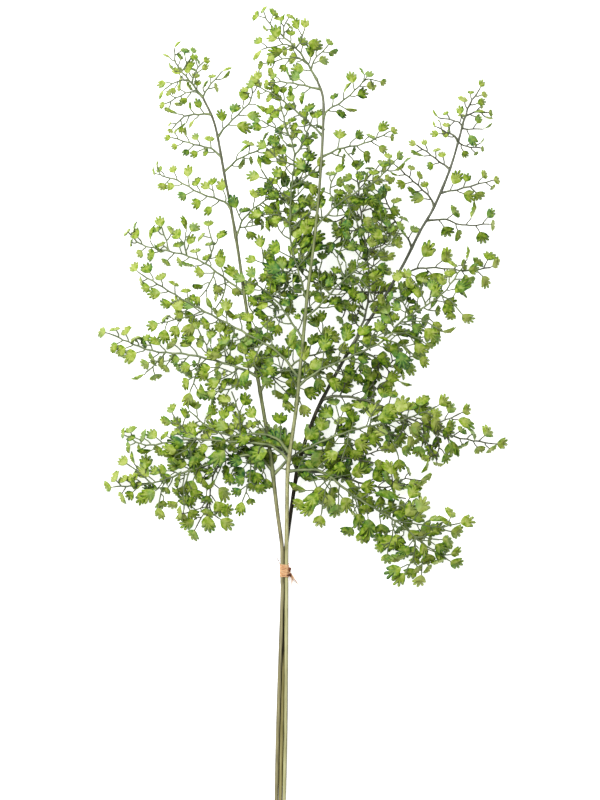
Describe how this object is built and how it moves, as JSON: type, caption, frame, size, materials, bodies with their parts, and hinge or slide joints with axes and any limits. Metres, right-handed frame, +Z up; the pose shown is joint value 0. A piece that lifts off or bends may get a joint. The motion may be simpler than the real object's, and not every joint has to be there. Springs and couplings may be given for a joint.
{
  "type": "tied bunch of maidenhair fern sprays",
  "caption": "Bunch of long maidenhair fern sprays with branched stems and small fan-shaped leaflets, tied with raffia and lying on a surface.",
  "frame": {"origin": "on the surface that the bunch lies on, under the middle of its box", "axes": "+Y along the stems from the cut ends to the tips, +X to the right seen from above, +Z up"},
  "size_m": [0.361, 0.71, 0.0676],
  "materials": {
    "leaf_green": "satin green moulded foliage, paler towards the tips",
    "stem_olive": "satin olive moulded stem",
    "stem_brown": "satin dark brown moulded stem",
    "raffia": "dry fibrous straw colour"
  },
  "bodies": {
    "root": {"left_stem": "stem_olive", "centre_stem": "stem_olive", "right_stem": "stem_brown", "left_left_side_1": "leaf_green", "left_left_side_2": "leaf_green", "left_left_side_3": "leaf_green", "left_left_side_4": "leaf_green", "left_left_side_5": "leaf_green", "left_left_side_6": "leaf_green", "left_right_side_1": "leaf_green", "left_right_side_2": "leaf_green", "left_right_side_3": "leaf_green", "left_right_side_4": "leaf_green", "left_right_side_5": "leaf_green", "left_right_side_6": "leaf_green", "left_tip": "leaf_green", "centre_left_side_1": "leaf_green", "centre_left_side_2": "leaf_green", "centre_left_side_3": "leaf_green", "centre_left_side_4": "leaf_green", "centre_left_side_5": "leaf_green", "centre_left_side_6": "leaf_green", "centre_left_side_7": "leaf_green", "centre_right_side_1": "leaf_green", "centre_right_side_2": "leaf_green", "centre_right_side_3": "leaf_green", "centre_right_side_4": "leaf_green", "centre_right_side_5": "leaf_green", "centre_right_side_6": "leaf_green", "centre_tip": "leaf_green", "right_left_side_1": "leaf_green", "right_left_side_2": "leaf_green", "right_left_side_3": "leaf_green", "right_left_side_4": "leaf_green", "right_left_side_5": "leaf_green", "right_left_side_6": "leaf_green", "right_left_side_7": "leaf_green", "right_right_side_1": "leaf_green", "right_right_side_2": "leaf_green", "right_right_side_3": "leaf_green", "right_right_side_4": "leaf_green", "right_right_side_5": "leaf_green", "right_right_side_6": "leaf_green", "right_right_side_7": "leaf_green", "right_tip": "leaf_green", "raffia_tie": "raffia"}
  },
  "joints": []
}
